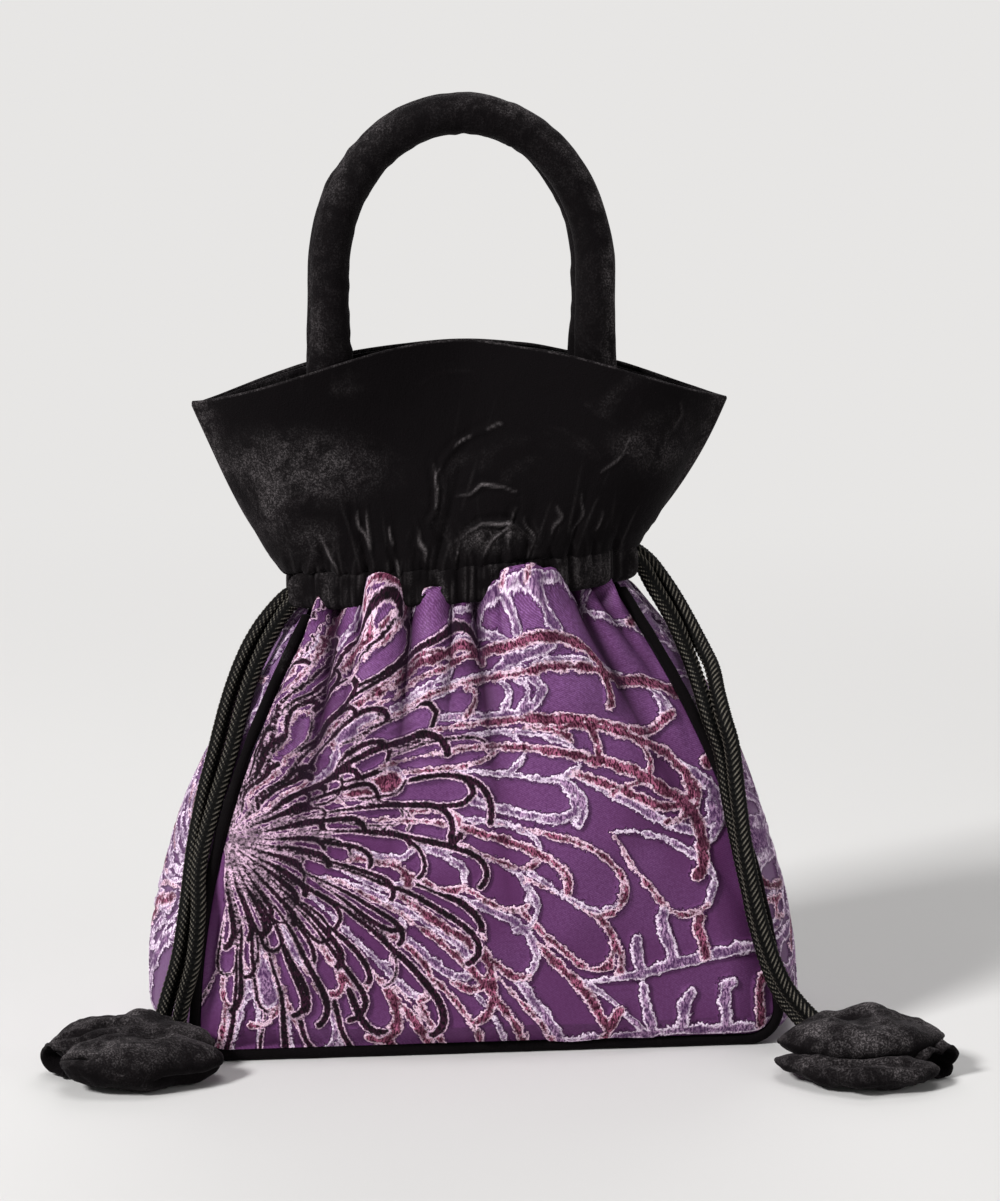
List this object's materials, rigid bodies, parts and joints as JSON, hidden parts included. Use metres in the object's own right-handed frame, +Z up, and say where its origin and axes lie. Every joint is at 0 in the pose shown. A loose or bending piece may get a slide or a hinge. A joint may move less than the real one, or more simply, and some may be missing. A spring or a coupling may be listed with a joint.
{
  "type": "kinchaku drawstring pouch",
  "caption": "Filled drawstring handbag with a flared velvet collar, padded tube handles and petal tassels on its cords.",
  "frame": {"origin": "centre of the bag's footprint on the surface that it stands on, cords and tassels left out", "axes": "+Z up, +X to the right seen from the front, -Y towards the front"},
  "size_m": [0.3321, 0.175, 0.3492],
  "materials": {
    "black_velvet": "deep pile velvet",
    "purple_devore": "devore velvet with a pale raised flower design",
    "black_piping": "velvet piping",
    "black_braid": "braided cord",
    "lining_satin": "satin lining",
    "cotton_filler": "cotton filler cord"
  },
  "bodies": {
    "root": {"front_panel": "purple_devore", "back_panel": "purple_devore", "gusset": "purple_devore", "front_piping": "black_piping", "back_piping": "black_piping", "lining_bag": "lining_satin", "front_casing": "black_velvet", "back_casing": "black_velvet", "front_collar": "black_velvet", "back_collar": "black_velvet", "front_facing": "black_velvet", "back_facing": "black_velvet", "front_handle": "black_velvet", "back_handle": "black_velvet", "front_handle_core": "cotton_filler", "back_handle_core": "cotton_filler", "left_cord": "black_braid", "right_cord": "black_braid", "left_upper_petal": "black_velvet", "left_lower_petal": "black_velvet", "left_tail_petal": "black_velvet", "right_upper_petal": "black_velvet", "right_lower_petal": "black_velvet", "right_tail_petal": "black_velvet"}
  },
  "joints": []
}
